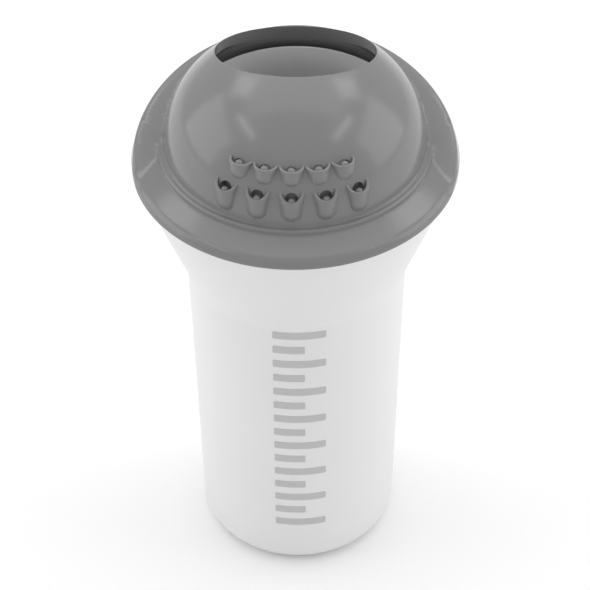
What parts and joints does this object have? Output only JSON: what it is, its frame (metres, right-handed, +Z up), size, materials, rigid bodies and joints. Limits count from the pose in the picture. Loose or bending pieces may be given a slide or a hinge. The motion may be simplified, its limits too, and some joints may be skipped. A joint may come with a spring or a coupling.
{
  "type": "pill crusher",
  "caption": "Tapered hand-held cup with a flared shoulder and a twist-off domed head, which has rows of scoop-shaped drain spouts in front and a slanted opening behind its crown.",
  "frame": {"origin": "centre of the foot that the cup stands on", "axes": "+Z up along the axis of the cup, -Y towards the spouts, +Y towards the opening in the head"},
  "size_m": [0.08, 0.08, 0.1528],
  "materials": {
    "cup_white": "satin white moulding",
    "head_grey": "polished mid-grey moulding",
    "seal_silicone": "matt silicone",
    "print_grey": "pad-printed ink"
  },
  "bodies": {
    "cup": {"cup": "cup_white", "neck_thread": "cup_white", "printed_bars": "print_grey"},
    "seal": {"seal_ring": "seal_silicone"},
    "head": {"head": "head_grey", "head_thread": "head_grey", "front_spouts": "head_grey", "back_spouts": "head_grey"}
  },
  "joints": [
    {"name": "thread_rise", "type": "slide", "parent": "cup", "child": "seal", "axis": [0, 0, 1], "range_m": [0, 0.0071]},
    {"name": "head_turn", "type": "hinge", "parent": "seal", "child": "head", "pos_m": [0, 0, 0.12], "axis": [0, 0, 1], "range_deg": [0, 630]}
  ],
  "couplings": [
    {"joint": "thread_rise", "follows": "head_turn", "m_per_rad": 0.00063662}
  ]
}
